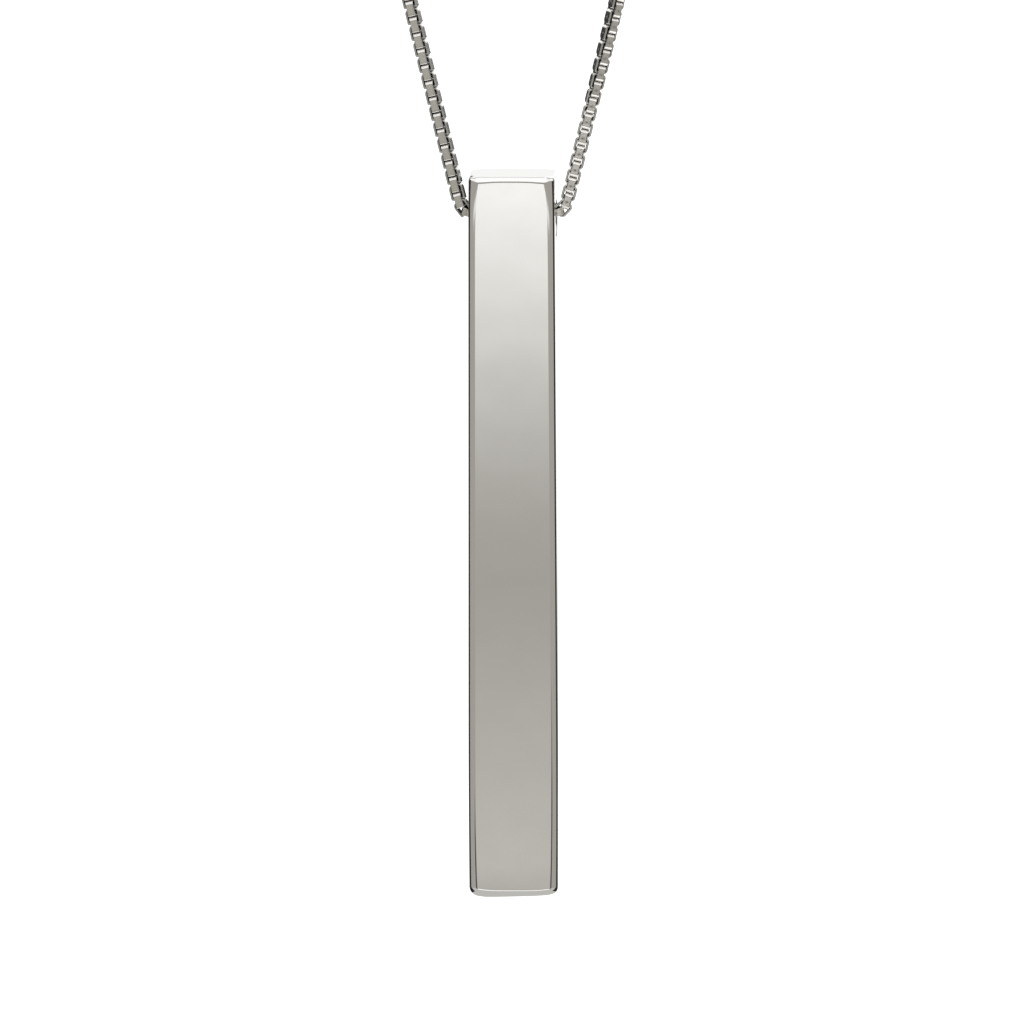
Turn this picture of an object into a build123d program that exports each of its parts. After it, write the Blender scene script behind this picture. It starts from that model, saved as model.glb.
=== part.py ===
from build123d import *
import math
import os

# Bar pendant on a fine box chain, in millimetres.
# The frame is +Z up, with the wearer facing -Y, and the origin is the middle of the clasp, on the nape.
# The chain falls from the neck's sides into an upright V, and the bar hangs on it by a cross hole.

# The bar is solid and polished by hand, so its ends ease in a little and its edges are soft.
BAR_HEIGHT = 40.0
BAR_SIDE = 4.9
BAR_EDGE_RADIUS = 0.4
END_EASE_LENGTH = 11.0
END_EASE = 0.08

# The cross hole runs along X. The bar hangs from the hole's top, so the chain lies above its middle.
HOLE_RADIUS = 0.9
HOLE_BELOW_TOP = 2.55
HOLE_RIM_RADIUS = 0.2
CHAIN_ABOVE_HOLE = 0.3

# The chain is a plain round tube as wide as its links are.
CHAIN_WIDTH = 0.8
CHAIN_LOW_Z = -221.5
V_PLANE_Y = -68.0

# The clasp is a plain barrel with a narrow neck at each end, where the chain runs in.
CLASP_LENGTH = 9.0
CLASP_RADIUS = 1.5
CLASP_NECK_RADIUS = 0.7
CLASP_NECK_LENGTH = 0.8
CLASP_SHOULDER_RADIUS = 0.7

# Half of the chain's route, from the middle of the hole to the clasp: x, y, and height above CHAIN_LOW_Z.
# The first rows bend up round the hole's rim, the next rise straight, and the last go round the neck.
ROUTE = [
    (0.0, V_PLANE_Y, 0.0),
    (2.26, V_PLANE_Y, 0.0),
    (2.64, V_PLANE_Y, 0.18),
    (2.91, V_PLANE_Y, 0.50),
    (3.11, V_PLANE_Y, 1.27),
    (3.50, V_PLANE_Y, 2.82),
    (4.27, V_PLANE_Y, 5.93),
    (5.80, V_PLANE_Y, 12.15),
    (8.84, V_PLANE_Y, 24.6),
    (14.6, V_PLANE_Y, 48.4),
    (25.3, V_PLANE_Y, 93.7),
    (37.3, V_PLANE_Y, 145.8),
    (44.0, V_PLANE_Y, 176.6),
    (47.4, -63.2, 192.8),
    (50.0, -53.8, 204.9),
    (50.6, -40.3, 212.5),
    (47.3, -25.3, 217.0),
    (38.5, -12.2, 219.8),
    (24.2, -2.6, 221.4),
    (11.6, 0.0, 221.5),
    (CLASP_LENGTH / 2, 0.0, 221.5),
]
ARC_SHARE = 0.45


def soft_outline(half_width, half_height):
    """The bar's outline seen from one side: straight sides that ease in near both ends."""
    straight = half_height - END_EASE_LENGTH
    narrow = half_width - END_EASE
    right = Line((half_width, -straight), (half_width, straight))
    right_end = TangentArc((half_width, straight), (narrow, half_height), tangent=(0, 1))
    top = Line((narrow, half_height), (-narrow, half_height))
    left_end = mirror(right_end, about=Plane.YZ)
    left = mirror(right, about=Plane.YZ)
    lower = [mirror(edge, about=Plane.XZ) for edge in (right_end, top, left_end)]
    return make_face([right, right_end, top, left_end, left, *lower])


def bar():
    """The bar where it hangs: eased at the ends, soft along its edges, with the cross hole near its top."""
    outline = soft_outline(BAR_SIDE / 2, BAR_HEIGHT / 2)
    front_view = extrude(Plane.XZ * outline, BAR_SIDE / 2, both=True)
    side_view = extrude(Plane.YZ * outline, BAR_SIDE / 2, both=True)
    body = fillet((front_view & side_view).edges(), BAR_EDGE_RADIUS)
    hole_z = BAR_HEIGHT / 2 - HOLE_BELOW_TOP
    body -= Pos(0, 0, hole_z) * Rot(0, 90, 0) * Cylinder(HOLE_RADIUS, 2 * BAR_SIDE)
    body = fillet(body.edges().filter_by(is_hole_rim), HOLE_RIM_RADIUS)
    return Pos(0, V_PLANE_Y, CHAIN_LOW_Z - CHAIN_ABOVE_HOLE - hole_z) * body


def is_hole_rim(edge):
    """True for the two closed edges where the cross hole meets the bar's sides."""
    return edge.is_closed and abs(edge.length - 2 * math.pi * HOLE_RADIUS) < HOLE_RADIUS / 10


def arc_radii(points):
    """For each corner of a route, the largest arc that its two runs allow."""
    radii = []
    for before, corner, after in zip(points, points[1:], points[2:]):
        arriving = corner - before
        leaving = after - corner
        half_turn = math.radians(arriving.get_angle(leaving)) / 2
        radii.append(ARC_SHARE * min(arriving.length, leaving.length) / math.tan(half_turn))
    return radii


def half_chain():
    """The chain on the wearer's left, from the middle of the bar's hole to the clasp's end face."""
    points = [Vector(x, y, CHAIN_LOW_Z + height) for x, y, height in ROUTE]
    radii = arc_radii(points)
    path = FilletPolyline(*points, radius=radii)
    section = Plane(origin=path @ 0, z_dir=path % 0) * Circle(CHAIN_WIDTH / 2)
    tube = sweep(section, path=path)
    expected = math.pi * (CHAIN_WIDTH / 2) ** 2 * path.length
    print("arc radii:", [round(radius, 2) for radius in radii])
    print(f"half chain {path.length:.1f} long, volume {tube.volume:.2f} against {expected:.2f}")
    print(f"whole necklace round the neck: {2 * path.length + CLASP_LENGTH:.0f}")
    return tube


def clasp():
    """The clasp on the nape: a plain barrel with rounded shoulders and a narrow neck at each end."""
    half = CLASP_LENGTH / 2
    shoulder = half - CLASP_NECK_LENGTH
    profile = make_face(
        Polyline(
            (-half, 0),
            (-half, CLASP_NECK_RADIUS),
            (-shoulder, CLASP_NECK_RADIUS),
            (-shoulder, CLASP_RADIUS),
            (shoulder, CLASP_RADIUS),
            (shoulder, CLASP_NECK_RADIUS),
            (half, CLASP_NECK_RADIUS),
            (half, 0),
            close=True,
        )
    )
    outer_corners = profile.vertices().sort_by(Axis.Y)[-2:]
    return revolve(fillet(outer_corners, CLASP_SHOULDER_RADIUS), Axis.X)


def main():
    left = half_chain()
    nodes = {
        "bar": bar(),
        "chain_left": left,
        "chain_right": mirror(left, about=Plane.YZ),
        "clasp": clasp(),
    }
    os.makedirs("parts", exist_ok=True)
    for name, solid in nodes.items():
        solid.label = name
        export_step(solid, f"parts/{name}.step")


main()
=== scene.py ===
import math
import bpy
import numpy as np
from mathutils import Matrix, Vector
from mathutils.kdtree import KDTree


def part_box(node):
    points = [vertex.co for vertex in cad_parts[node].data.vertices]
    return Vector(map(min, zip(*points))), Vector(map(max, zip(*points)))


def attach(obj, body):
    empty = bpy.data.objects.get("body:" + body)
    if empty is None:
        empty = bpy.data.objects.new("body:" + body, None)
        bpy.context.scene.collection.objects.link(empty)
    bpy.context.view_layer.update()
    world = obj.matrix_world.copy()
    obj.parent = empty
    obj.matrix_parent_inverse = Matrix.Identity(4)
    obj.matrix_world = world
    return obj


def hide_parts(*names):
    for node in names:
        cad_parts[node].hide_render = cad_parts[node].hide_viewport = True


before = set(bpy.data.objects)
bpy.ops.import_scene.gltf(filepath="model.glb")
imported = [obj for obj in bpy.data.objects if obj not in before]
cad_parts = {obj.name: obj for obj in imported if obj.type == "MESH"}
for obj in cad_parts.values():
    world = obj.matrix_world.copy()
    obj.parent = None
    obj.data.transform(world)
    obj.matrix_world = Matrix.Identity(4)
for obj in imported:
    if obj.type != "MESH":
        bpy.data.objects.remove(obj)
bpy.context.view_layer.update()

MM = 0.001


# Camera: a long lens above and a little to the right of the bar, with the photo's framing.
CAMERA_AZIMUTH = 1.5
CAMERA_ELEVATION = 7.0
CAMERA_DISTANCE = 800 * MM
FRAME_WIDTH = 56.6 * MM
SENSOR = 36.0
CAMERA_AIM = Vector((-0.08, -68.0, -238.1)) * MM


def add_camera():
    azimuth = math.radians(CAMERA_AZIMUTH)
    elevation = math.radians(CAMERA_ELEVATION)
    level = math.cos(elevation)
    away = Vector((math.sin(azimuth) * level, -math.cos(azimuth) * level, math.sin(elevation)))
    data = bpy.data.cameras.new("camera")
    data.sensor_width = SENSOR
    data.lens = SENSOR * CAMERA_DISTANCE / FRAME_WIDTH
    data.clip_start = 0.01
    data.clip_end = 100.0
    camera = bpy.data.objects.new("camera", data)
    camera.location = CAMERA_AIM + away * CAMERA_DISTANCE
    camera.rotation_euler = (-away).to_track_quat("-Z", "Y").to_euler()
    bpy.context.collection.objects.link(camera)
    bpy.context.scene.camera = camera


def add_object(name, mesh):
    piece = bpy.data.objects.new(name, mesh)
    bpy.context.collection.objects.link(piece)
    return piece


def set_smooth(mesh, normals):
    """Shades a mesh smoothly with one exact normal for each vertex."""
    mesh.polygons.foreach_set("use_smooth", [True] * len(mesh.polygons))
    mesh.normals_split_custom_set_from_vertices(normals)


# Node helpers: a node with its inputs set or linked in one call.
def add_node(tree, kind, inputs=None, **settings):
    node = tree.nodes.new(kind)
    for name, value in settings.items():
        setattr(node, name, value)
    for key, value in (inputs or {}).items():
        if isinstance(value, bpy.types.NodeSocket):
            tree.links.new(value, node.inputs[key])
        else:
            node.inputs[key].default_value = value
    return node


def math_node(tree, operation, first, second=0.0):
    return add_node(tree, "ShaderNodeMath", {0: first, 1: second}, operation=operation).outputs[0]


def map_range(tree, value, low, high, to_low=0.0, to_high=1.0, smooth=False):
    inputs = {"Value": value, "From Min": low, "From Max": high, "To Min": to_low, "To Max": to_high}
    kind = "SMOOTHSTEP" if smooth else "LINEAR"
    return add_node(tree, "ShaderNodeMapRange", inputs, interpolation_type=kind).outputs["Result"]


def mix_colour(tree, factor, first, second, blend="MIX"):
    node = add_node(tree, "ShaderNodeMix", data_type="RGBA", blend_type=blend)
    for index, value in ((0, factor), (6, first), (7, second)):
        if isinstance(value, bpy.types.NodeSocket):
            tree.links.new(value, node.inputs[index])
        else:
            node.inputs[index].default_value = value
    return node.outputs[2]


def noise(tree, place, scale, detail):
    inputs = {"Vector": place, "Scale": scale, "Detail": detail}
    return add_node(tree, "ShaderNodeTexNoise", inputs).outputs["Fac"]


def stretch(tree, place, scale):
    return add_node(tree, "ShaderNodeMapping", {"Vector": place, "Scale": scale}).outputs["Vector"]


def bump(tree, height, strength, distance, normal=None):
    inputs = {"Height": height, "Strength": strength, "Distance": distance}
    if normal is not None:
        inputs["Normal"] = normal
    return add_node(tree, "ShaderNodeBump", inputs).outputs["Normal"]


def ramp(tree, factor, stops):
    """A colour ramp whose stops are (position, grey or colour)."""
    node = add_node(tree, "ShaderNodeValToRGB", {"Fac": factor})
    elements = node.color_ramp.elements
    while len(elements) < len(stops):
        elements.new(0.5)
    for element, (position, colour) in zip(elements, stops):
        element.position = position
        element.color = (colour, colour, colour, 1) if isinstance(colour, float) else (*colour, 1)
    return node.outputs["Color"]


def new_material(name):
    material = bpy.data.materials.new(name)
    material.use_nodes = True
    material.node_tree.nodes.clear()
    return material, material.node_tree


def finish_surface(tree, shader):
    add_node(tree, "ShaderNodeOutputMaterial", {"Surface": shader})


def finish_metal(tree, colour, metallic, roughness, normal):
    inputs = {"Base Color": colour, "Metallic": metallic, "Roughness": roughness, "Normal": normal}
    finish_surface(tree, add_node(tree, "ShaderNodeBsdfPrincipled", inputs).outputs[0])


def finish_light(tree, colour, strength):
    inputs = {"Color": colour, "Strength": strength}
    finish_surface(tree, add_node(tree, "ShaderNodeEmission", inputs).outputs[0])


# The bar's place and height come from the frame; its side and its hole are measured in the photo.
BAR_LOW, BAR_HIGH = (Vector(corner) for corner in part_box("bar"))
BAR_MIDDLE = (BAR_LOW + BAR_HIGH) / 2
BAR_HALF_HEIGHT = (BAR_HIGH.z - BAR_LOW.z) / 2
BAR_HALF_SIDE = 2.43 * MM
HOLE_RADIUS = 0.9 * MM
HOLE_RIM = 0.2 * MM
HOLE_RIM_TURN = math.radians(80)
HOLE_RIM_STEPS = 8
TURNED_STEPS = 72
HOLE_HEIGHT = BAR_HALF_HEIGHT - 2.55 * MM

# Hand polishing: the upright edges grow softer near the ends, and the sides ease in at the bottom.
EDGE_RADIUS = 0.41 * MM
EDGE_SWELL_TOP, EDGE_SWELL_TOP_POWER = 0.28 * MM, 18
EDGE_SWELL_BOTTOM, EDGE_SWELL_BOTTOM_POWER = 0.10 * MM, 10
END_EASE = 0.05 * MM
END_EASE_LENGTH = 11.0 * MM
# The top edge: its radius in front, its growth along the front towards the corners, and its radius
# on the other sides, which it reaches this far round each front corner.
TOP_RADIUS, TOP_GROWTH, TOP_SIDE_RADIUS = 0.33 * MM, 0.07 * MM, 0.28 * MM
TOP_TURN = math.radians(40)
# The bottom edge: its radius, and its growth in front towards the corners and at them.
BOTTOM_RADIUS, BOTTOM_GROWTH, BOTTOM_CORNER_GROWTH = 0.40 * MM, 0.10 * MM, 0.06 * MM
# The bottom hangs a little lower, most of all on the left.
BOTTOM_SAG, BOTTOM_SLANT = 0.035 * MM, 0.045 * MM
# The front right edge leans in at the top and out at the bottom.
LEAN_SPREAD = 0.145 * MM
# Steps of the mesh round each corner, along each side, over each end edge and up the bar.
CORNER_STEPS = 16
FLAT_STEPS = 10
END_STEPS = 10
SIDE_STEPS = 80
# The step, in turns and rows, over which the surface's directions are measured.
SMALL_STEP = 1e-4
# The core corners of the section in order round the bar; places on it count 2 turns for each quarter.
CORNER_SIGNS = np.array([(1.0, 1.0), (-1.0, 1.0), (-1.0, -1.0), (1.0, -1.0)])


def bar_section(height):
    """Half width and corner radius of the bar's section at heights from its middle."""
    past = np.clip((END_EASE_LENGTH - BAR_HALF_HEIGHT - height) / END_EASE_LENGTH, 0.0, 1.0)
    half = BAR_HALF_SIDE - END_EASE * past ** 2
    spread = np.abs(height) / BAR_HALF_HEIGHT
    top = EDGE_SWELL_TOP * spread ** EDGE_SWELL_TOP_POWER
    bottom = EDGE_SWELL_BOTTOM * spread ** EDGE_SWELL_BOTTOM_POWER
    return half, EDGE_RADIUS + np.where(height > 0, top, bottom)


def around_bar(turns):
    """Core corner, outward direction and shares of flat and corner at places round the outline."""
    part = np.floor(turns).astype(int)
    share = turns - part
    on_flat = part % 2 == 1
    first = CORNER_SIGNS[part // 2 % 4]
    second = CORNER_SIGNS[(part // 2 + 1) % 4]
    core = first + (second - first) * np.where(on_flat, share, 0.0)[:, None]
    angle = np.pi / 2 * (part // 2 + np.where(on_flat, 1.0, share))
    flat_share = np.abs(core).min(axis=1)
    corner_share = np.where(on_flat, 0.0, 4 * share * (1 - share))
    return core, np.stack([np.cos(angle), np.sin(angle)], axis=1), flat_share, corner_share


def bar_points(turns, rows):
    """Points of the bar's surface.

    Rows run from -2 to -1 over the bottom edge, on to 1 up the side, and to 2 over the top edge.
    """
    core, outward, flat_share, corner_share = around_bar(turns)
    front = np.clip(-core[:, 1], 0.0, 1.0)
    turned_off = np.clip(np.arccos(np.clip(-outward[:, 1], -1.0, 1.0)) / TOP_TURN, 0.0, 1.0)
    at_front = 1 - turned_off ** 2 * (3 - 2 * turned_off)
    top_growth = TOP_GROWTH * flat_share ** 4 * (2 - flat_share ** 4)
    top = TOP_SIDE_RADIUS + (TOP_RADIUS + top_growth - TOP_SIDE_RADIUS) * at_front
    bottom_growth = BOTTOM_GROWTH * flat_share ** 4 + BOTTOM_CORNER_GROWTH * corner_share
    bottom = BOTTOM_RADIUS + bottom_growth * front
    end = np.where(rows > 0, top, bottom)
    tilt = np.pi / 2 * np.clip(np.abs(rows) - 1, 0.0, 1.0)
    straight = np.clip(rows, -1.0, 1.0) * (BAR_HALF_HEIGHT - end)
    height = straight + np.sign(rows) * end * np.sin(tilt)
    sag = (BOTTOM_SAG - BOTTOM_SLANT * core[:, 0]) * np.sin(tilt) ** 2
    height = height - np.where(rows < 0, sag, 0.0)
    half, radius = bar_section(height)
    inset = end * (1 - np.cos(tilt))
    plan = core * (half - radius - inset)[:, None] + outward * radius[:, None]
    return np.column_stack([plan, height])


def bar_surface():
    """Points and exact normals of the bar's shell, ring by ring, without its hole."""
    corner = np.arange(CORNER_STEPS) / CORNER_STEPS
    flat = 1 + np.arange(FLAT_STEPS) / FLAT_STEPS
    ring = np.concatenate([2 * quarter + part for quarter in range(4) for part in (corner, flat)])
    bottom = np.arange(END_STEPS) / END_STEPS - 2
    side = np.linspace(-1, 1, SIDE_STEPS + 1)
    rows = np.concatenate([bottom, side, -bottom[::-1]])
    turns, levels = np.tile(ring, len(rows)), np.repeat(rows, len(ring))
    after = bar_points(turns + SMALL_STEP, levels)
    before = bar_points((turns - SMALL_STEP) % 8, levels)
    above = bar_points(turns, np.minimum(levels + SMALL_STEP, 2))
    below = bar_points(turns, np.maximum(levels - SMALL_STEP, -2))
    normals = np.cross(after - before, above - below)
    normals /= np.linalg.norm(normals, axis=1)[:, None]
    return bar_points(turns, levels), normals, len(ring)


def mesh_of_rings(name, points, ring):
    """A closed mesh through rings of points, capped at both ends."""
    count = len(points) // ring
    faces = [
        (
            row * ring + index,
            row * ring + (index + 1) % ring,
            (row + 1) * ring + (index + 1) % ring,
            (row + 1) * ring + index,
        )
        for row in range(count - 1)
        for index in range(ring)
    ]
    faces.append(tuple(range(ring))[::-1])
    faces.append(tuple(range((count - 1) * ring, count * ring)))
    mesh = bpy.data.meshes.new(name)
    mesh.from_pydata([tuple(point) for point in points], [], faces)
    return mesh


def turned(name, profile):
    """A closed shape turned round the X axis from its profile of (x, radius) rows."""
    angles = [2 * math.pi * step / TURNED_STEPS for step in range(TURNED_STEPS)]
    points = []
    for x, radius in profile:
        points += [(x, radius * math.cos(angle), radius * math.sin(angle)) for angle in angles]
    return mesh_of_rings(name, points, TURNED_STEPS)


def hole_cutter():
    """The hole's wall and its two rounded rims, carried on past the bar's sides."""
    half = bar_section(HOLE_HEIGHT)[0]
    rim = []
    for step in range(HOLE_RIM_STEPS + 1):
        angle = HOLE_RIM_TURN * step / HOLE_RIM_STEPS
        x = half - HOLE_RIM + HOLE_RIM * math.sin(angle)
        radius = HOLE_RADIUS + HOLE_RIM * (1 - math.cos(angle))
        rim.append((x, radius))
    rim.append((half + HOLE_RIM, radius))
    mirrored = [(-x, radius) for x, radius in rim[::-1]]
    cutter = add_object("hole_cutter", turned("hole_cutter", mirrored + rim))
    cutter.location = (0, 0, HOLE_HEIGHT)
    return cutter


def cut_hole(bar):
    """Replaces the bar's mesh by one with the cross hole cut through it."""
    cutter = hole_cutter()
    cut = bar.modifiers.new("hole", "BOOLEAN")
    cut.operation = "DIFFERENCE"
    cut.solver = "EXACT"
    cut.object = cutter
    bpy.context.view_layer.update()
    mesh = bpy.data.meshes.new_from_object(bar.evaluated_get(bpy.context.evaluated_depsgraph_get()))
    bar.modifiers.clear()
    bar.data = mesh
    bpy.data.objects.remove(cutter)


def cut_normals(mesh, points, normals):
    """Normals of the cut bar: the shell's where it is whole, and the hole's own inside it."""
    nearest = KDTree(len(points))
    for index, point in enumerate(points):
        nearest.insert(point, index)
    nearest.balance()
    hole_half = bar_section(HOLE_HEIGHT)[0]
    found = []
    for vertex in mesh.vertices:
        x, y, height = vertex.co
        from_axis = Vector((0, y, height - HOLE_HEIGHT))
        if from_axis.length < HOLE_RADIUS + 0.9 * HOLE_RIM and abs(x) < hole_half - 0.01 * HOLE_RIM:
            past = max(0.0, abs(x) - (hole_half - HOLE_RIM))
            inward = HOLE_RADIUS + HOLE_RIM - from_axis.length
            normal = Vector((math.copysign(past, x), 0, 0)) - from_axis.normalized() * inward
            found.append(normal.normalized())
        else:
            found.append(normals[nearest.find(vertex.co)[1]])
    return np.array(found)


def lean_out(points, normals):
    """Moves the bar's front right edge in at the top and out at the bottom; the normals follow."""
    x, y, height = points.T
    size = 2 * BAR_HALF_SIDE
    right, front = (x + BAR_HALF_SIDE) / size, (BAR_HALF_SIDE - y) / size
    lean = -LEAN_SPREAD * height / BAR_HALF_HEIGHT
    gradient = np.column_stack([
        lean * front / size,
        -lean * right / size,
        -LEAN_SPREAD / BAR_HALF_HEIGHT * right * front,
    ])
    moved = points + np.column_stack([lean * right * front, 0 * x, 0 * x])
    turned_normals = normals - gradient * (normals[:, 0] / (1 + gradient[:, 0]))[:, None]
    return moved, turned_normals / np.linalg.norm(turned_normals, axis=1)[:, None]


def build_bar(metal):
    """The polished bar with its cross hole."""
    points, normals, ring = bar_surface()
    bar = add_object("bar_polished", mesh_of_rings("bar_shell", points, ring))
    cut_hole(bar)
    mesh = bar.data
    places = np.array([vertex.co for vertex in mesh.vertices])
    moved, exact = lean_out(places, cut_normals(mesh, points, normals))
    mesh.vertices.foreach_set("co", (moved + np.array(BAR_MIDDLE)).reshape(-1))
    mesh.update()
    set_smooth(mesh, exact.tolist())
    mesh.materials.append(metal)
    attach(bar, "pendant")
    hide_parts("bar")


# The chain's route: the points of half the chain from the bar's hole to the clasp, as in the solid.
CHAIN_LOW_Z = -221.5
V_PLANE_Y = -68.0
ROUTE = [
    (2.26, V_PLANE_Y, 0.0),
    (2.64, V_PLANE_Y, 0.18),
    (2.91, V_PLANE_Y, 0.50),
    (3.11, V_PLANE_Y, 1.27),
    (3.50, V_PLANE_Y, 2.82),
    (4.27, V_PLANE_Y, 5.93),
    (5.80, V_PLANE_Y, 12.15),
    (8.84, V_PLANE_Y, 24.6),
    (14.6, V_PLANE_Y, 48.4),
    (25.3, V_PLANE_Y, 93.7),
    (37.3, V_PLANE_Y, 145.8),
    (44.0, V_PLANE_Y, 176.6),
    (47.4, -63.2, 192.8),
    (50.0, -53.8, 204.9),
    (50.6, -40.3, 212.5),
    (47.3, -25.3, 217.0),
    (38.5, -12.2, 219.8),
    (24.2, -2.6, 221.4),
    (11.6, 0.0, 221.5),
    (4.5, 0.0, 221.5),
]
ROUTE_STEPS = 48

# The box chain: rings of flat strip, each turned a quarter against its neighbours.
LINK_PITCH = 0.455 * MM
LINK_HALF_LENGTH = 0.445 * MM
LINK_HALF_WIDTH = 0.392 * MM
STRIP_THICKNESS = 0.13 * MM
STRIP_HALF_WIDTH = 0.225 * MM
STRIP_BEVEL = 0.035 * MM
INNER_BEND = 0.03 * MM
# Shares of the strip's full width on a link's end walls and on its hidden inner plate.
END_WALL_SHARE = 0.97
BACK_WALL_SHARE = 1.14
# How far from a link's middle its plates reach their full width.
PLATE_REACH = 0.68 * LINK_HALF_LENGTH
# How much of the painted shade, as a share of full dark, stays on the strip's edges on the bends, and how
# dark the end walls are painted, as shade in the gaps between links.
BEND_SHADE = 0.3
END_SHADE = 0.6
# The links nearest the bar are finer: steps round each bend and along each wall, and a full section.
NEAR_LINKS = 60
NEAR_STEPS, FAR_STEPS = (5, 10), (3, 2)
# Each strand's links sit a little further out than whole pitches; the links inside the bar take this up.
RIGHT_SHIFT = 0.08 * MM
LEFT_SHIFT = 0.15 * MM
LINKS_IN_BAR = 5
# The last link's middle stays at least this many pitches short of the clasp's end face.
END_ROOM = 0.75
# The strands' links differ: bend radii, the strip's width at top, waist and bottom, and a struck mark.
LEFT_STRAND = {
    "top_bend": 0.28 * MM,
    "bottom_bend": 0.05 * MM,
    "widths": (0.97, 0.93, 0.99),
    "dimple": 0.0,
}
RIGHT_STRAND = {
    "top_bend": 0.20 * MM,
    "bottom_bend": 0.23 * MM,
    "widths": (0.97, 0.86, 1.15),
    "dimple": 1.0,
}
# The small struck mark a little below the middle of each plate of the right strand.
DIMPLE_PLACE = -0.03 * MM
DIMPLE_SIZE = (0.06 * MM, 0.085 * MM)
DIMPLE_DEPTH = 0.004 * MM
# Each plate turns in a little at its lower end.
LIP_LENGTH = 0.07 * MM
LIP_SLOPE = 0.06


def chain_line():
    """The chain's line from the right end at the clasp, through the hole, to the left end."""
    half = [Vector((x, y, CHAIN_LOW_Z + height)) * MM for x, y, height in ROUTE]
    points = [Vector((-point.x, point.y, point.z)) for point in half[::-1]] + half
    curve = bpy.data.curves.new("chain_line", "CURVE")
    curve.dimensions = "3D"
    curve.resolution_u = ROUTE_STEPS
    spline = curve.splines.new("NURBS")
    spline.points.add(len(points) - 1)
    for control, point in zip(spline.points, points):
        control.co = (*point, 1)
    spline.order_u = 3
    spline.use_endpoint_u = True
    holder = add_object("chain_line", curve)
    bpy.context.view_layer.update()
    line = bpy.data.meshes.new_from_object(holder.evaluated_get(bpy.context.evaluated_depsgraph_get()))
    places = np.array([vertex.co for vertex in line.vertices])
    bpy.data.objects.remove(holder)
    return places


def ring_direction(quarters):
    """The outward direction, as (along, across), after so many quarter turns round a link."""
    angle = np.pi / 2 * quarters
    return np.array([math.sin(angle), math.cos(angle)])


def ring_line(half_length, half_width, top_bend, bottom_bend, steps):
    """A link's line in its own plane: points and normals as (along, across), and each row's wall."""
    corner_steps, wall_steps = steps
    bends = [(1, 1, top_bend), (1, -1, top_bend), (-1, -1, bottom_bend), (-1, 1, bottom_bend)]
    centres = [
        np.array([along * (half_length - radius), across * (half_width - radius)])
        for along, across, radius in bends
    ]
    radii = [radius for _, _, radius in bends]
    starts = [centres[turn] + radii[turn] * ring_direction(turn) for turn in range(4)]
    ends = [centres[turn] + radii[turn] * ring_direction(turn + 1) for turn in range(4)]
    points, normals, walls = [], [], []
    for turn in range(4):
        for step in range(wall_steps):
            points.append(ends[turn - 1] + (starts[turn] - ends[turn - 1]) * step / wall_steps)
            normals.append(ring_direction(turn))
            walls.append(turn)
        for step in range(corner_steps):
            direction = ring_direction(turn + step / corner_steps)
            points.append(centres[turn] + radii[turn] * direction)
            normals.append(direction)
            walls.append(turn if step == 0 else -1)
    return np.array(points), np.array(normals), np.array(walls)


def strip_section(fine):
    """The strip's section, from the middle of its outer face and back to it.

    Rows are depth, place across, the normal's outward and sideways parts, and the painted shade share,
    which is 0 on bright metal and 1 where the inner faces and edges are painted dark as shade.
    """
    reach, deep, bevel = STRIP_HALF_WIDTH, STRIP_THICKNESS, STRIP_BEVEL
    lean = math.sqrt(0.5)
    cut = bevel * (1 - lean)
    half = [
        (0.0, reach - bevel, 1.0, 0.0, 0.1),
        (cut, reach - cut, lean, lean, 0.75),
        (bevel, reach, 0.0, 1.0, 0.35),
        (deep / 2, reach, 0.0, 1.0, 0.0),
        (deep - bevel, reach, 0.0, 1.0, 0.7),
        (deep - cut, reach - cut, -lean, lean, 1.0),
        (deep, reach - bevel, -1.0, 0.0, 1.0),
    ]
    if not fine:
        half = [half[0], half[2], half[4], half[6]]
    other = [(depth, -across, out, -side, painted_shade) for depth, across, out, side, painted_shade in half[::-1]]
    middle = [(0.0, share * reach, 1.0, 0.0, 0.0) for share in (-0.5, -0.25, 0.0, 0.25, 0.5)]
    return np.array(half + other + (middle if fine else []))


def width_shares(along, normals, walls, widths):
    """Share of the strip's full width at each row: a waist in the outer plates, and plain end walls."""
    top, waist, bottom = widths
    height = np.clip(along / PLATE_REACH, -1, 1)
    plate = waist + (np.where(height > 0, top, bottom) - waist) * height ** 2
    plate = np.where(walls == 2, BACK_WALL_SHARE, plate)
    ends = np.abs(normals[:, 0])
    return plate * (1 - ends) + END_WALL_SHARE * ends


def painted_shade_shares(section_painted_shade, out, walls):
    """Painted shade at each point of a link: by its place in the section, less on bends, more on end
    walls.
    """
    on_end = np.isin(walls, (1, 3))
    inside_end = (on_end & np.roll(on_end, 1) & np.roll(on_end, -1))[:, None]
    bright_bend = (walls == -1)[:, None] & (out >= 0)
    shares = section_painted_shade * np.where(bright_bend, BEND_SHADE, 1.0)
    return np.maximum(shares, np.where(inside_end, END_SHADE, 0.0))


def link_faces(outer, ring):
    """A link's faces, and their strip coordinates: mm along the link and share round the section."""
    count = len(outer)
    steps = np.linalg.norm(np.roll(outer, -1, axis=0) - outer, axis=1)
    lengths = np.concatenate([[0.0], np.cumsum(steps)]) / MM
    faces, strip = [], []
    for row in range(count):
        here, after = row * ring, (row + 1) % count * ring
        low, high = lengths[row], lengths[row + 1]
        for column in range(ring):
            beside = (column + 1) % ring
            faces.append((here + column, here + beside, after + beside, after + column))
            left, right = column / ring, (column + 1) / ring
            strip.append(((low, left), (low, right), (high, right), (high, left)))
    return np.array(faces), np.array(strip)


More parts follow.
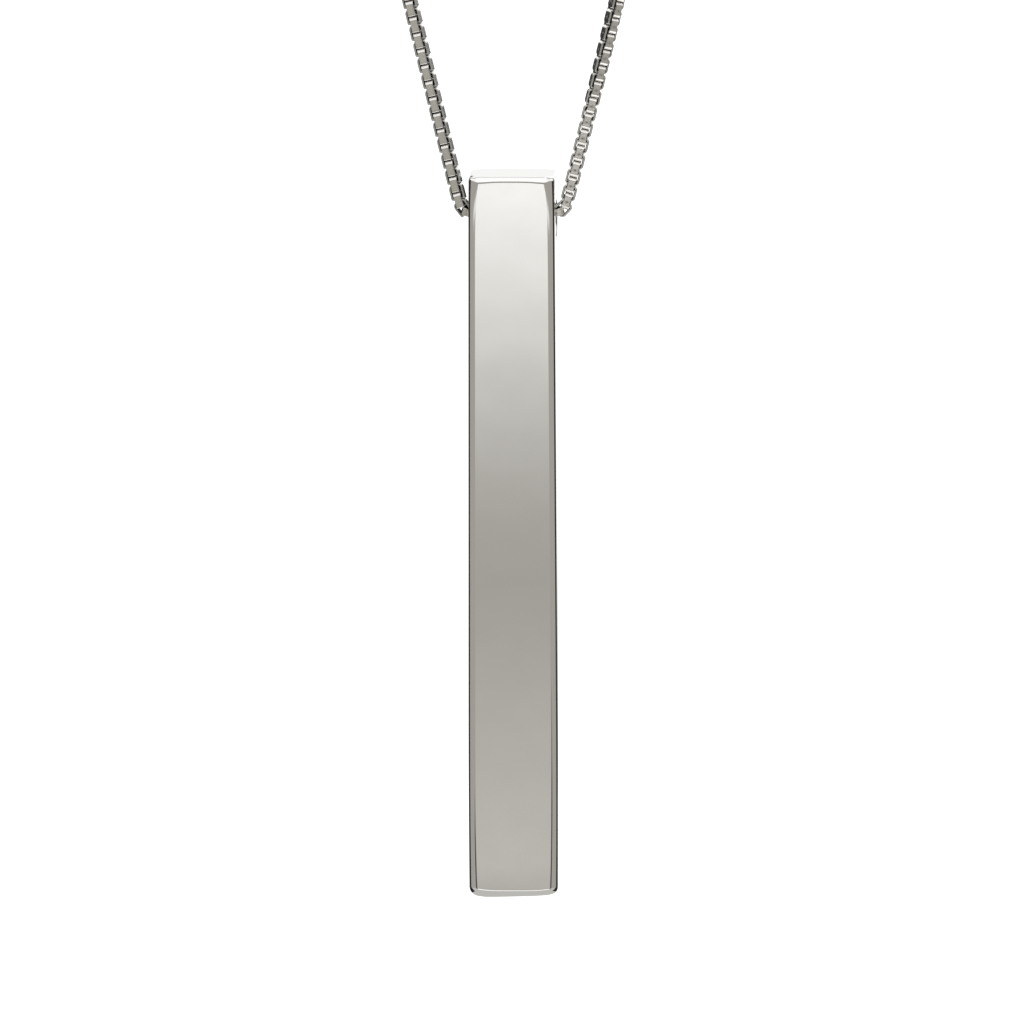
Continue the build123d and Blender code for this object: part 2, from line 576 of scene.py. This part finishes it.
def link_template(strand, steps, fine):
    """One link's points, normals, faces, strip coordinates and painted shade shares, in (along, across,
    side).
    """
    bends = strand["top_bend"], strand["bottom_bend"]
    outer, lean, walls = ring_line(LINK_HALF_LENGTH, LINK_HALF_WIDTH, *bends, steps)
    inner_size = LINK_HALF_LENGTH - STRIP_THICKNESS, LINK_HALF_WIDTH - STRIP_THICKNESS
    inner = ring_line(*inner_size, INNER_BEND, INNER_BEND, steps)[0]
    section = strip_section(fine)
    depth, offset, out, sideways, painted_shade = (column[None, :] for column in section.T)
    width = width_shares(outer[:, 0], lean, walls, strand["widths"])[:, None]
    inward = (inner - outer)[:, None, :] * (depth / STRIP_THICKNESS)[:, :, None]
    points = np.dstack([outer[:, None, :] + inward, offset * width])
    side_part = np.repeat(sideways, len(outer), axis=0)
    normals = np.dstack([lean[:, None, 0] * out, lean[:, None, 1] * out, side_part])
    # Painted shade on the link's inner faces, edges and end walls.
    painted_shades = painted_shade_shares(painted_shade, out, walls)
    if fine:
        plates = np.isin(walls, (0, 2))[:, None] * (out > 0.5)
        shape_plates(points, normals, painted_shades, plates, strand)
    faces, strip = link_faces(outer, len(section))
    return points.reshape(-1, 3), normals.reshape(-1, 3), faces, strip, painted_shades.reshape(-1)


def shape_plates(points, normals, painted_shades, plates, strand):
    """Gives the plates' outer faces their struck mark, painted darker as shade in its hollow, and the
    lower lip.
    """
    along, across, side = points[:, :, 0].copy(), np.sign(points[:, :, 1]), points[:, :, 2]
    size_along, size_side = DIMPLE_SIZE
    from_mark = along - DIMPLE_PLACE
    mark = np.exp(-(from_mark / size_along) ** 2 - (side / size_side) ** 2) * strand["dimple"] * plates
    low = -LINK_HALF_LENGTH + strand["bottom_bend"] + LIP_LENGTH
    lip = np.clip((low - along) / LIP_LENGTH, 0.0, 1.0) * plates
    points[:, :, 1] -= across * (DIMPLE_DEPTH * mark + LIP_SLOPE * LIP_LENGTH / 2 * lip ** 2)
    normals[:, :, 0] -= 2 * DIMPLE_DEPTH * mark * from_mark / size_along ** 2 + LIP_SLOPE * lip
    normals[:, :, 2] -= 2 * DIMPLE_DEPTH * mark * side / size_side ** 2
    # The struck mark is painted darker, as shade in its hollow.
    painted_shades[:] = np.maximum(painted_shades, mark)


# How far the chain is turned about its own line: rows of distance from the hole in mm, and degrees.
TWIST_RIGHT = [
    (0.0, 0.0),
    (8.1, 0.0),
    (9.1, 8.0),
    (10.4, 18.0),
    (11.3, 21.0),
    (12.1, 26.0),
    (14.0, 34.0),
    (16.4, 38.0),
    (60.0, 30.0),
    (300.0, 0.0),
]
TWIST_LEFT = [(0.0, -11.0), (40.0, -14.0), (120.0, -12.0), (300.0, 0.0)]
# Each link is also turned a little by chance; this is the spread in degrees.
JITTER = 0.6
# Each strand's node, its side of the bar (1 is the picture's right), its links and its twist.
STRANDS = [
    ("chain_left", 1, RIGHT_STRAND, TWIST_RIGHT),
    ("chain_right", -1, LEFT_STRAND, TWIST_LEFT),
]


def places_along(line, length, distances):
    """The line's points at distances from its start."""
    return np.stack([np.interp(distances, length, line[:, axis]) for axis in range(3)], axis=1)


def link_places():
    """Centres, directions along the chain, distances from the hole's middle and numbers of all links."""
    line = chain_line()
    steps = np.linalg.norm(np.diff(line, axis=0), axis=1)
    length = np.concatenate([[0.0], np.cumsum(steps)])
    middle = length[-1] / 2
    count = int((middle - END_ROOM * LINK_PITCH - LEFT_SHIFT) / LINK_PITCH)
    numbers = np.arange(-count, count + 1)
    shift = np.where(numbers > 0, RIGHT_SHIFT, -LEFT_SHIFT)
    distances = numbers * LINK_PITCH + shift * np.clip(np.abs(numbers) / LINKS_IN_BAR, 0.0, 1.0)
    ahead = places_along(line, length, middle + distances + LINK_PITCH / 2)
    behind = places_along(line, length, middle + distances - LINK_PITCH / 2)
    along = ahead - behind
    along /= np.linalg.norm(along, axis=1)[:, None]
    return places_along(line, length, middle + distances), along, distances, numbers


def carried_fronts(along):
    """The front direction at each link, carried along the chain from the bar both ways, without twist."""
    count = len(along)
    fronts = np.zeros_like(along)
    start = count // 2
    for order in (range(start, count), range(start - 1, -1, -1)):
        carried = np.array([0.0, -1.0, 0.0])
        for index in order:
            carried = carried - along[index] * np.dot(carried, along[index])
            carried /= np.linalg.norm(carried)
            fronts[index] = carried
    return fronts


def turned_about(axis, direction, degrees):
    """Directions turned about the axes they are square to."""
    angle = np.radians(degrees)[:, None]
    return direction * np.cos(angle) + np.cross(axis, direction) * np.sin(angle)


def build_links(name, template, centres, up, across, seed):
    """Many links as one mesh, with their strip coordinates, painted shade shares and a tone for each link.
    """
    points, normals, faces, strip, painted_shades = template
    count = len(centres)
    jitter = np.random.default_rng(seed).normal(0.0, JITTER, count)
    across = turned_about(up, across, jitter)
    axes = np.stack([up, across, np.cross(up, across)], axis=1)
    world = np.einsum("pk,lkc->lpc", points, axes) + centres[:, None, :]
    world_normals = np.einsum("pk,lkc->lpc", normals, axes)
    corner_indices = (faces[None] + (np.arange(count) * len(points))[:, None, None]).reshape(-1)
    mesh = bpy.data.meshes.new(name)
    mesh.vertices.add(count * len(points))
    mesh.vertices.foreach_set("co", world.reshape(-1))
    mesh.loops.add(len(corner_indices))
    mesh.loops.foreach_set("vertex_index", corner_indices)
    mesh.polygons.add(count * len(faces))
    mesh.polygons.foreach_set("loop_start", np.arange(0, len(corner_indices), 4))
    mesh.update(calc_edges=True)
    shift = np.arange(count)[:, None, None, None] * np.array([3.7, 0.0])
    layer = mesh.uv_layers.new(name="strip")
    layer.data.foreach_set("uv", (strip[None] + shift).reshape(-1))
    # The painted shade of the links' insides, edges and gaps, carried to the material.
    painted_shade = mesh.attributes.new("painted_shade", "FLOAT", "POINT")
    painted_shade.data.foreach_set("value", np.tile(painted_shades, count))
    tones = np.random.default_rng(seed + 1).uniform(0.0, 1.0, count)
    tone = mesh.attributes.new("tone", "FLOAT", "POINT")
    tone.data.foreach_set("value", np.repeat(tones, len(points)))
    set_smooth(mesh, world_normals.reshape(-1, 3).tolist())
    return add_object(name, mesh)


def build_chain():
    """Both halves of the chain, each with finer links near the bar and plainer ones round the neck."""
    centres, along, distances, numbers = link_places()
    fronts = carried_fronts(along)
    metal = chain_metal()
    for node, side, strand, twist in STRANDS:
        mine = np.flatnonzero(numbers < 0 if side < 0 else numbers >= 0)
        mine = mine[np.argsort(np.abs(distances[mine]))]
        up = along * side
        across = turned_about(up, fronts, np.interp(np.abs(distances) / MM, *zip(*twist)))
        across = np.where((numbers % 2 == 1)[:, None], across, np.cross(up, across))
        groups = [
            ("near", link_template(strand, NEAR_STEPS, True), mine[:NEAR_LINKS]),
            ("far", link_template(strand, FAR_STEPS, False), mine[NEAR_LINKS:]),
        ]
        for seed, (part, template, chosen) in enumerate(groups):
            places = centres[chosen], up[chosen], across[chosen]
            links = build_links(f"{node}_links_{part}", template, *places, seed)
            links.data.materials.append(metal)
            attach(links, "necklace")
            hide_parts(node)


# The clasp at the nape.
CLASP_LOW, CLASP_HIGH = (Vector(corner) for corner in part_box("clasp"))
CLASP_NECK_RADIUS = 0.7 * MM
CLASP_NECK_LENGTH = 0.8 * MM
CLASP_SHOULDER_RADIUS = 0.7 * MM
CLASP_LIP = 0.12 * MM
SHOULDER_STEPS, LIP_STEPS = 8, 4
CLASP_SHARP_ANGLE = math.radians(35)


def build_clasp(metal):
    """A plain barrel clasp with rounded shoulders, turned about the chain's line."""
    half = (CLASP_HIGH.x - CLASP_LOW.x) / 2
    radius = (CLASP_HIGH.z - CLASP_LOW.z) / 2
    shoulder = half - CLASP_NECK_LENGTH
    rows = [(0.0, radius)]
    for step in range(SHOULDER_STEPS + 1):
        angle = math.pi / 2 * step / SHOULDER_STEPS
        x = shoulder - CLASP_SHOULDER_RADIUS + CLASP_SHOULDER_RADIUS * math.sin(angle)
        level = radius - CLASP_SHOULDER_RADIUS + CLASP_SHOULDER_RADIUS * math.cos(angle)
        rows.append((x, level))
    rows.append((shoulder, CLASP_NECK_RADIUS))
    for step in range(LIP_STEPS + 1):
        angle = math.pi / 2 * step / LIP_STEPS
        x = half - CLASP_LIP + CLASP_LIP * math.sin(angle)
        rows.append((x, CLASP_NECK_RADIUS - CLASP_LIP * (1 - math.cos(angle))))
    profile = [(-x, level) for x, level in rows[:0:-1]] + rows
    clasp = add_object("clasp_barrel", turned("clasp_barrel", profile))
    clasp.location = (CLASP_LOW + CLASP_HIGH) / 2
    clasp.data.polygons.foreach_set("use_smooth", [True] * len(clasp.data.polygons))
    sharp = clasp.modifiers.new("sharp", "EDGE_SPLIT")
    sharp.split_angle = CLASP_SHARP_ANGLE
    clasp.data.materials.append(metal)
    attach(clasp, "necklace")
    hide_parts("clasp")


# The silver's colours: bright and hazy on the bar, bright and dull on the clasp, and on the chain
# two tones, worn parts and painted shade in its insides, edges and gaps.
BAR_BRIGHT, BAR_HAZY = (0.95, 0.945, 0.93, 1), (0.92, 0.913, 0.895, 1)
CLASP_BRIGHT, CLASP_DULL = (0.76, 0.75, 0.725, 1), (0.66, 0.65, 0.625, 1)
CHAIN_TONES = (0.88, 0.865, 0.83, 1), (0.95, 0.94, 0.91, 1)
CHAIN_WORN = (0.84, 0.825, 0.785, 1)
# The chain's painted shade colour, for the links' dark insides, edges and gaps.
CHAIN_PAINTED_SHADE = (0.012, 0.012, 0.011, 1)


def bar_metal():
    """Hand-polished silver: nearly a mirror, with faint waves, polishing lines and a little haze."""
    material, tree = new_material("polished_silver")
    place = add_node(tree, "ShaderNodeTexCoord").outputs["Object"]
    waves = noise(tree, place, 260.0, 1.0)
    lines = noise(tree, stretch(tree, place, (9.0, 9.0, 0.6)), 2600.0, 3.0)
    haze = noise(tree, place, 700.0, 4.0)
    roughness = map_range(tree, math_node(tree, "ADD", lines, haze), 0.7, 1.3, 0.035, 0.07)
    colour = mix_colour(tree, haze, BAR_BRIGHT, BAR_HAZY)
    normal = bump(tree, lines, 0.01, 0.05 * MM, bump(tree, waves, 0.012, 1.0 * MM))
    finish_metal(tree, colour, 1.0, roughness, normal)
    return material


def clasp_metal():
    """Satin silver with fine turning lines round the barrel."""
    material, tree = new_material("clasp_silver")
    place = add_node(tree, "ShaderNodeTexCoord").outputs["Object"]
    lines = noise(tree, stretch(tree, place, (40.0, 1.0, 1.0)), 400.0, 3.0)
    colour = mix_colour(tree, lines, CLASP_BRIGHT, CLASP_DULL)
    roughness = map_range(tree, lines, 0.3, 0.7, 0.2, 0.32)
    finish_metal(tree, colour, 1.0, roughness, bump(tree, lines, 0.1, 0.05 * MM))
    return material


def chain_metal():
    """Rolled silver strip: fine draw lines along it, bright outside, and painted shade inside the links
    and on their edges.
    """
    material, tree = new_material("chain_silver")
    strip = add_node(tree, "ShaderNodeUVMap", uv_map="strip").outputs["UV"]
    painted_shade = add_node(tree, "ShaderNodeAttribute", attribute_name="painted_shade").outputs["Fac"]
    tone = add_node(tree, "ShaderNodeAttribute", attribute_name="tone").outputs["Fac"]
    lines = noise(tree, stretch(tree, strip, (1.5, 90.0, 1.0)), 3.0, 3.0)
    silver = mix_colour(tree, tone, *CHAIN_TONES)
    worn = mix_colour(tree, map_range(tree, lines, 0.35, 0.65), silver, CHAIN_WORN)
    # Painted shade: the links' insides, edges and gaps turn darker, less metallic and rougher.
    colour = mix_colour(tree, painted_shade, worn, CHAIN_PAINTED_SHADE)
    metallic = map_range(tree, painted_shade, 0.3, 1.0, 1.0, 0.2)
    drawn = map_range(tree, lines, 0.3, 0.7, 0.12, 0.24)
    roughness = math_node(tree, "ADD", drawn, map_range(tree, painted_shade, 0.3, 1.0, 0.0, 0.4))
    finish_metal(tree, colour, metallic, roughness, bump(tree, lines, 0.15, 0.02 * MM))
    return material


# Studio: a pale floor, a white room, and a tent of soft light that the metal mirrors.
WHITE = (1, 1, 1, 1)
ROOM_STRENGTH = 1.05
FLOOR_Z = -320 * MM
FLOOR_HALF = 6.0
FLOOR_COLOUR = (0.95, 0.95, 0.95, 1)
FLOOR_ROUGHNESS = 0.9
FLOOR_GLOW = 0.25
TENT_RADIUS = 120 * MM
TENT_LOW = FLOOR_Z + 1 * MM
TENT_HIGH = 140 * MM
TENT_SEGMENTS = 128
TENT_STRENGTH = 1.08
# Three cards just under the bar, as corners in mm: its lower edge mirrors them.
GREY_CARD = [(-10, -77.2, -263), (10, -78.6, -263), (10, -55, -263), (-10, -55, -263)]
LEFT_DARK_CARD = [(-11, -70, -262.8), (-4.8, -70, -262.8), (-4.8, -59, -262.8), (-11, -59, -262.8)]
RIGHT_DARK_CARD = [(4.8, -70, -262.8), (11, -70, -262.8), (11, -59, -262.8), (4.8, -59, -262.8)]
GREY_CARD_COLOUR = (0.52, 0.51, 0.485, 1)
DARK_CARD_COLOUR = (0.02, 0.02, 0.02, 1)

# The tent's brightness: rows of height in mm and grey or colour, for each range of angles from the front.
WARM_DIM = (0.335, 0.325, 0.298)
FRONT_LIGHT = [
    (-319, 1.0),
    (-301, 1.0),
    (-299, WARM_DIM),
    (-281, WARM_DIM),
    (-277, (0.485, 0.475, 0.445)),
    (-264, (0.40, 0.39, 0.36)),
    (-257, (0.35, 0.337, 0.31)),
    (-252, (0.375, 0.365, 0.34)),
    (-245, (0.52, 0.51, 0.485)),
    (-237, (0.745, 0.74, 0.72)),
    (-232, (0.91, 0.905, 0.89)),
    (-230, (0.92, 0.92, 0.91)),
    (-228.3, (0.27, 0.26, 0.235)),
    (-179, (0.28, 0.27, 0.245)),
    (-173, 1.0),
]
NEAR_SIDE_LIGHT = [
    (-299, WARM_DIM),
    (-234, WARM_DIM),
    (-231.5, (0.57, 0.565, 0.54)),
    (-229.5, (0.57, 0.565, 0.54)),
    (-228, WARM_DIM),
    (-179, (0.29, 0.28, 0.255)),
    (-173, 1.0),
]
SIDE_LIGHT = [(-299, WARM_DIM), (-179, WARM_DIM), (-170, 0.9)]
# High up, the back half has a dark band and a grey top, which give the clasp its shading.
HIGH_LIGHT = [(-80, 1.0), (-55, 0.3), (-15, 0.3), (5, 1.0), (40, 1.0), (70, 0.5), (140, 0.5)]
BLACK_LIGHT = [(-319, 0.05), (-285, 0.02), (-180, 0.02), (-160, 1.0)] + HIGH_LIGHT
DARK_GREY_LIGHT = [(-319, 0.08), (-285, 0.05), (-180, 0.05), (-160, 1.0)] + HIGH_LIGHT
BACK_LIGHT = [
    (-319, 0.4),
    (-268, 0.45),
    (-252, 1.0),
    (-216, 1.0),
    (-213, (0.875, 0.872, 0.862)),
    (-160, 0.95),
] + HIGH_LIGHT
# Angles from the front, in degrees, over which each range fades into the next.
FRONT_END = (7, 12)
NEAR_SIDE_END = (34, 46)
SIDE_END = (97, 105)
DARK_GREY_START, DARK_GREY_END = (124, 130), (158, 164)
BACK_START = (171, 174)
# On the right the black and dark grey end lower.
RIGHT_DROP = 25 * MM
# A slightly brighter strip beside the front's middle.
RIM_ANGLES = (4, 6, 9, 12)
RIM_LIFT = (1.06, 1.06, 1.06, 1)
# Two dark columns low in front: the thin dark lines near the bar's lower corners.
COLUMN_ANGLES = (14, 18, 28, 32)
LEFT_COLUMN = [(-300, 0.15), (-276, 0.15), (-271, 1.0)]
RIGHT_COLUMN = [(-300, 0.15), (-272, 0.15), (-262, 1.0)]
# A glow on both sides of the front: the light patches in the bar's upper corners.
GLOW_HEIGHTS = (-233.2 * MM, -231.9 * MM, -231 * MM, -229.5 * MM)
GLOW_END = (12, 56)
GLOW_SHARE = 0.7
GLOW_COLOUR = (0.92, 0.915, 0.9, 1)
# A bright gap far round on the right, for the right side's upper edge.
GAP_START = (160, 165)
GAP_HEIGHTS = (-231 * MM, -227 * MM)


def add_floor():
    mesh = bpy.data.meshes.new("floor")
    signs = [(-1, -1), (1, -1), (1, 1), (-1, 1)]
    corners = [(x * FLOOR_HALF, y * FLOOR_HALF, FLOOR_Z) for x, y in signs]
    mesh.from_pydata(corners, [], [(0, 1, 2, 3)])
    floor = add_object("floor", mesh)
    material, tree = new_material("floor")
    inputs = {
        "Base Color": FLOOR_COLOUR,
        "Roughness": FLOOR_ROUGHNESS,
        "Emission Color": WHITE,
        "Emission Strength": FLOOR_GLOW,
    }
    finish_surface(tree, add_node(tree, "ShaderNodeBsdfPrincipled", inputs).outputs[0])
    mesh.materials.append(material)


def band(tree, value, rise_from, rise_to, fall_from, fall_to):
    """1 between two limits and 0 outside them, with soft ends."""
    rise = map_range(tree, value, rise_from, rise_to, smooth=True)
    fall = map_range(tree, value, fall_from, fall_to, 1.0, 0.0, smooth=True)
    return math_node(tree, "MULTIPLY", rise, fall)


def fade(tree, angle, limits, first, second):
    """One colour below both limits, the other above them, and a soft change between."""
    return mix_colour(tree, map_range(tree, angle, *limits, smooth=True), first, second)


def height_ramp(tree, z, rows):
    """Brightness against height: rows are (mm, grey or colour)."""
    low, high = rows[0][0], rows[-1][0]
    height = map_range(tree, z, low * MM, high * MM)
    return ramp(tree, height, [((level - low) / (high - low), colour) for level, colour in rows])


def front_half(tree, z, angle, on_right):
    """The tent's colour from its front to its sides."""
    front = height_ramp(tree, z, FRONT_LIGHT)
    lifted = mix_colour(tree, 1.0, front, RIM_LIFT, "MULTIPLY")
    front = mix_colour(tree, band(tree, angle, *RIM_ANGLES), front, lifted)
    colour = fade(tree, angle, FRONT_END, front, height_ramp(tree, z, NEAR_SIDE_LIGHT))
    colour = fade(tree, angle, NEAR_SIDE_END, colour, height_ramp(tree, z, SIDE_LIGHT))
    past_front = map_range(tree, angle, *FRONT_END)
    share = math_node(tree, "MINIMUM", map_range(tree, angle, *GLOW_END, GLOW_SHARE, 0.0), past_front)
    glow = math_node(tree, "MULTIPLY", band(tree, z, *GLOW_HEIGHTS), share)
    colour = mix_colour(tree, glow, colour, GLOW_COLOUR)
    left, right = height_ramp(tree, z, LEFT_COLUMN), height_ramp(tree, z, RIGHT_COLUMN)
    shaded = mix_colour(tree, 1.0, colour, mix_colour(tree, on_right, left, right), "MULTIPLY")
    return mix_colour(tree, band(tree, angle, *COLUMN_ANGLES), colour, shaded)


def tent_light():
    """The tent's brightness by height and by angle from the front."""
    material, tree = new_material("tent")
    place = add_node(tree, "ShaderNodeTexCoord").outputs["Object"]
    parts = add_node(tree, "ShaderNodeSeparateXYZ", {0: place}).outputs
    forward = math_node(tree, "MULTIPLY", parts["Y"], -1.0)
    turn = math_node(tree, "MULTIPLY", math_node(tree, "ARCTAN2", parts["X"], forward), 180 / math.pi)
    angle = math_node(tree, "ABSOLUTE", turn)
    on_right = math_node(tree, "GREATER_THAN", turn, 0.0)
    z = parts["Z"]
    lowered = math_node(tree, "ADD", z, math_node(tree, "MULTIPLY", on_right, RIGHT_DROP))
    colour = front_half(tree, z, angle, on_right)
    colour = fade(tree, angle, SIDE_END, colour, height_ramp(tree, lowered, BLACK_LIGHT))
    dark_grey = band(tree, angle, *DARK_GREY_START, *DARK_GREY_END)
    colour = mix_colour(tree, dark_grey, colour, height_ramp(tree, lowered, DARK_GREY_LIGHT))
    above_gap = map_range(tree, z, *GAP_HEIGHTS)
    gap = math_node(tree, "MULTIPLY", map_range(tree, turn, *GAP_START), above_gap)
    colour = mix_colour(tree, gap, colour, WHITE)
    colour = fade(tree, angle, BACK_START, colour, height_ramp(tree, z, BACK_LIGHT))
    finish_light(tree, colour, TENT_STRENGTH)
    return material


def add_tent():
    """An upright ring of soft light round the necklace, seen only in its reflections."""
    points, faces = [], []
    for z in (TENT_LOW, TENT_HIGH):
        for step in range(TENT_SEGMENTS):
            angle = 2 * math.pi * step / TENT_SEGMENTS
            points.append((TENT_RADIUS * math.cos(angle), TENT_RADIUS * math.sin(angle), z))
    for step in range(TENT_SEGMENTS):
        after = (step + 1) % TENT_SEGMENTS
        faces.append((step, after, after + TENT_SEGMENTS, step + TENT_SEGMENTS))
    mesh = bpy.data.meshes.new("tent")
    mesh.from_pydata(points, [], faces)
    tent = add_object("tent", mesh)
    tent.location = (0, V_PLANE_Y * MM, 0)
    mesh.materials.append(tent_light())
    hide_but_mirrored(tent)


def add_card(name, outline, colour):
    """A flat card of one even brightness under the bar, seen only in its lower edge."""
    mesh = bpy.data.meshes.new(name)
    mesh.from_pydata([Vector(corner) * MM for corner in outline], [], [(0, 1, 2, 3)])
    card = add_object(name, mesh)
    material, tree = new_material(name)
    finish_light(tree, colour, 1.0)
    mesh.materials.append(material)
    hide_but_mirrored(card)


def hide_but_mirrored(piece):
    """Leaves a studio piece to be seen in reflections only."""
    piece.visible_camera = False
    piece.visible_diffuse = False
    piece.visible_shadow = False
    piece.visible_transmission = False


def set_world():
    """A plain white room."""
    world = bpy.data.worlds.new("studio")
    world.use_nodes = True
    tree = world.node_tree
    tree.nodes.clear()
    background = add_node(tree, "ShaderNodeBackground", {"Color": WHITE, "Strength": ROOM_STRENGTH})
    add_node(tree, "ShaderNodeOutputWorld", {"Surface": background.outputs[0]})
    bpy.context.scene.world = world
    bpy.context.scene.view_settings.view_transform = "Standard"


build_bar(bar_metal())
build_chain()
build_clasp(clasp_metal())
add_floor()
add_tent()
add_card("grey_card", GREY_CARD, GREY_CARD_COLOUR)
add_card("left_dark_card", LEFT_DARK_CARD, DARK_CARD_COLOUR)
add_card("right_dark_card", RIGHT_DARK_CARD, DARK_CARD_COLOUR)
set_world()
add_camera()
